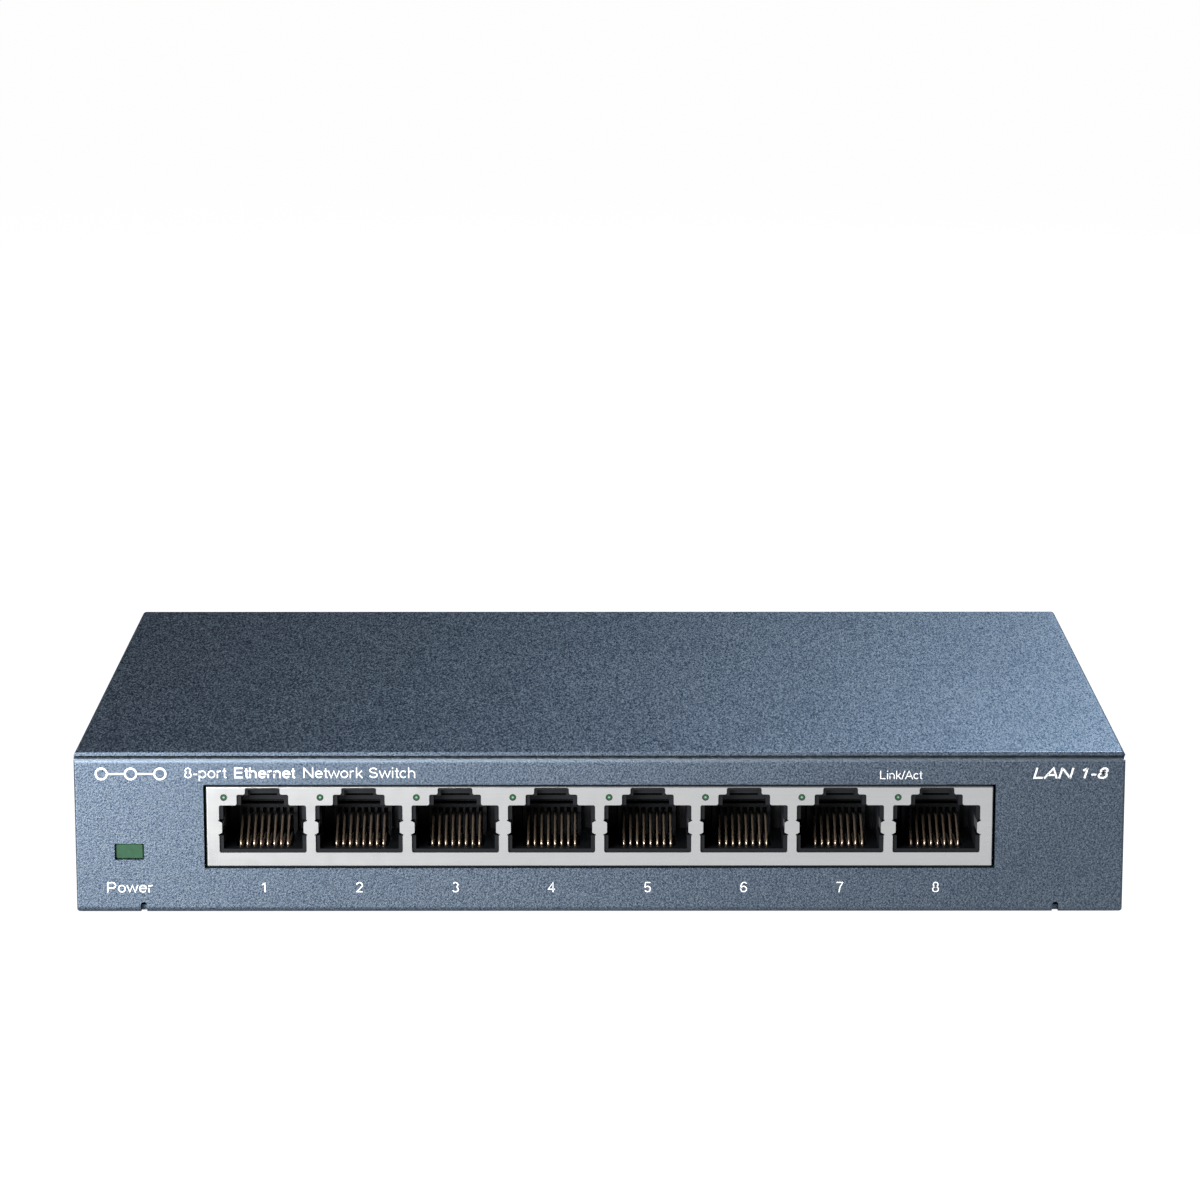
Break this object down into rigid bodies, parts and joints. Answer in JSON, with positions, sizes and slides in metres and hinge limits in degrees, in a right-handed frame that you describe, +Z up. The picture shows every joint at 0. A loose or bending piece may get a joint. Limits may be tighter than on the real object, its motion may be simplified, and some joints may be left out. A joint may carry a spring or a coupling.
{
  "type": "desktop network switch",
  "caption": "Folded sheet-steel desktop network switch with a front row of modular sockets, link and power lamps, rear DC inlet, rubber feet and wall keyholes.",
  "frame": {"origin": "on the desk plane, under the centre of the enclosure", "axes": "+X to the right as seen from the front, sockets face -Y, +Z up"},
  "size_m": [0.158, 0.1022, 0.0265],
  "materials": {
    "case_paint": "metallic blue-grey powder paint, fine texture",
    "shield_metal": "satin tinned sheet",
    "jack_plastic": "matte black moulded",
    "contact_gold": "gold-plated spring wire",
    "lamp_clear": "clear, lit green",
    "lamp_green": "green lens",
    "board_green": "solder mask over copper tracks",
    "chip_black": "moulded package",
    "sink_aluminium": "black anodised",
    "component_metal": "bright can",
    "capacitor_sleeve": "dark sleeve",
    "ceramic": "chip ceramic",
    "pad_grey": "soft pad",
    "foot_rubber": "matte",
    "screw_steel": "zinc plated",
    "label_white": "blank label"
  },
  "bodies": {
    "chassis": {"board_screws": "screw_steel", "board_standoffs": "screw_steel", "chassis_base": "case_paint", "chip_capacitors": "ceramic", "chip_resistors": "chip_black", "circuit_board": "board_green", "config_memory": "chip_black", "contact_comb_1": "jack_plastic", "contact_comb_2": "jack_plastic", "contact_comb_3": "jack_plastic", "contact_comb_4": "jack_plastic", "contact_comb_5": "jack_plastic", "contact_comb_6": "jack_plastic", "contact_comb_7": "jack_plastic", "contact_comb_8": "jack_plastic", "contact_tails_1": "contact_gold", "contact_tails_2": "contact_gold", "contact_tails_3": "contact_gold", "contact_tails_4": "contact_gold", "contact_tails_5": "contact_gold", "contact_tails_6": "contact_gold", "contact_tails_7": "contact_gold", "contact_tails_8": "contact_gold", "cover_screws": "screw_steel", "crystal": "component_metal", "dc_inlet_body": "jack_plastic", "dc_inlet_pin": "component_metal", "dc_leaf_tail": "component_metal", "electrolytic_capacitors": "capacitor_sleeve", "heat_sink": "sink_aluminium", "jack_housing": "jack_plastic", "jack_shield": "shield_metal", "lan_transformer_1": "chip_black", "lan_transformer_2": "chip_black", "lan_transformer_3": "chip_black", "lan_transformer_4": "chip_black", "link_leds": "lamp_green", "link_light_pipes": "lamp_clear", "power_inductors": "chip_black", "power_led": "lamp_green", "power_light_guide": "lamp_green", "rating_label": "label_white", "rubber_foot_1": "foot_rubber", "rubber_foot_2": "foot_rubber", "rubber_foot_3": "foot_rubber", "rubber_foot_4": "foot_rubber", "switch_chip": "chip_black", "thermal_pad": "pad_grey", "top_cover": "case_paint", "voltage_regulators": "chip_black"},
    "contacts_1": {"contact_springs_1": "contact_gold"},
    "contacts_2": {"contact_springs_2": "contact_gold"},
    "contacts_3": {"contact_springs_3": "contact_gold"},
    "contacts_4": {"contact_springs_4": "contact_gold"},
    "contacts_5": {"contact_springs_5": "contact_gold"},
    "contacts_6": {"contact_springs_6": "contact_gold"},
    "contacts_7": {"contact_springs_7": "contact_gold"},
    "contacts_8": {"contact_springs_8": "contact_gold"},
    "dc_leaf": {"dc_inlet_leaf": "component_metal"}
  },
  "joints": [
    {"name": "contact_flex_1", "type": "hinge", "parent": "chassis", "child": "contacts_1", "pos_m": [-0.05075, -0.0466, 0.0113], "axis": [-1, 0, 0], "range_deg": [0, 12], "stiffness_Nm_per_rad": 0.27},
    {"name": "contact_flex_2", "type": "hinge", "parent": "chassis", "child": "contacts_2", "pos_m": [-0.03625, -0.0466, 0.0113], "axis": [-1, 0, 0], "range_deg": [0, 12], "stiffness_Nm_per_rad": 0.27},
    {"name": "contact_flex_3", "type": "hinge", "parent": "chassis", "child": "contacts_3", "pos_m": [-0.02175, -0.0466, 0.0113], "axis": [-1, 0, 0], "range_deg": [0, 12], "stiffness_Nm_per_rad": 0.27},
    {"name": "contact_flex_4", "type": "hinge", "parent": "chassis", "child": "contacts_4", "pos_m": [-0.00725, -0.0466, 0.0113], "axis": [-1, 0, 0], "range_deg": [0, 12], "stiffness_Nm_per_rad": 0.27},
    {"name": "contact_flex_5", "type": "hinge", "parent": "chassis", "child": "contacts_5", "pos_m": [0.00725, -0.0466, 0.0113], "axis": [-1, 0, 0], "range_deg": [0, 12], "stiffness_Nm_per_rad": 0.27},
    {"name": "contact_flex_6", "type": "hinge", "parent": "chassis", "child": "contacts_6", "pos_m": [0.02175, -0.0466, 0.0113], "axis": [-1, 0, 0], "range_deg": [0, 12], "stiffness_Nm_per_rad": 0.27},
    {"name": "contact_flex_7", "type": "hinge", "parent": "chassis", "child": "contacts_7", "pos_m": [0.03625, -0.0466, 0.0113], "axis": [-1, 0, 0], "range_deg": [0, 12], "stiffness_Nm_per_rad": 0.27},
    {"name": "contact_flex_8", "type": "hinge", "parent": "chassis", "child": "contacts_8", "pos_m": [0.05075, -0.0466, 0.0113], "axis": [-1, 0, 0], "range_deg": [0, 12], "stiffness_Nm_per_rad": 0.27},
    {"name": "dc_leaf_flex", "type": "hinge", "parent": "chassis", "child": "dc_leaf", "pos_m": [-0.058, 0.042, 0.0116], "axis": [-1, 0, 0], "range_deg": [0, 6], "stiffness_Nm_per_rad": 0.36}
  ]
}
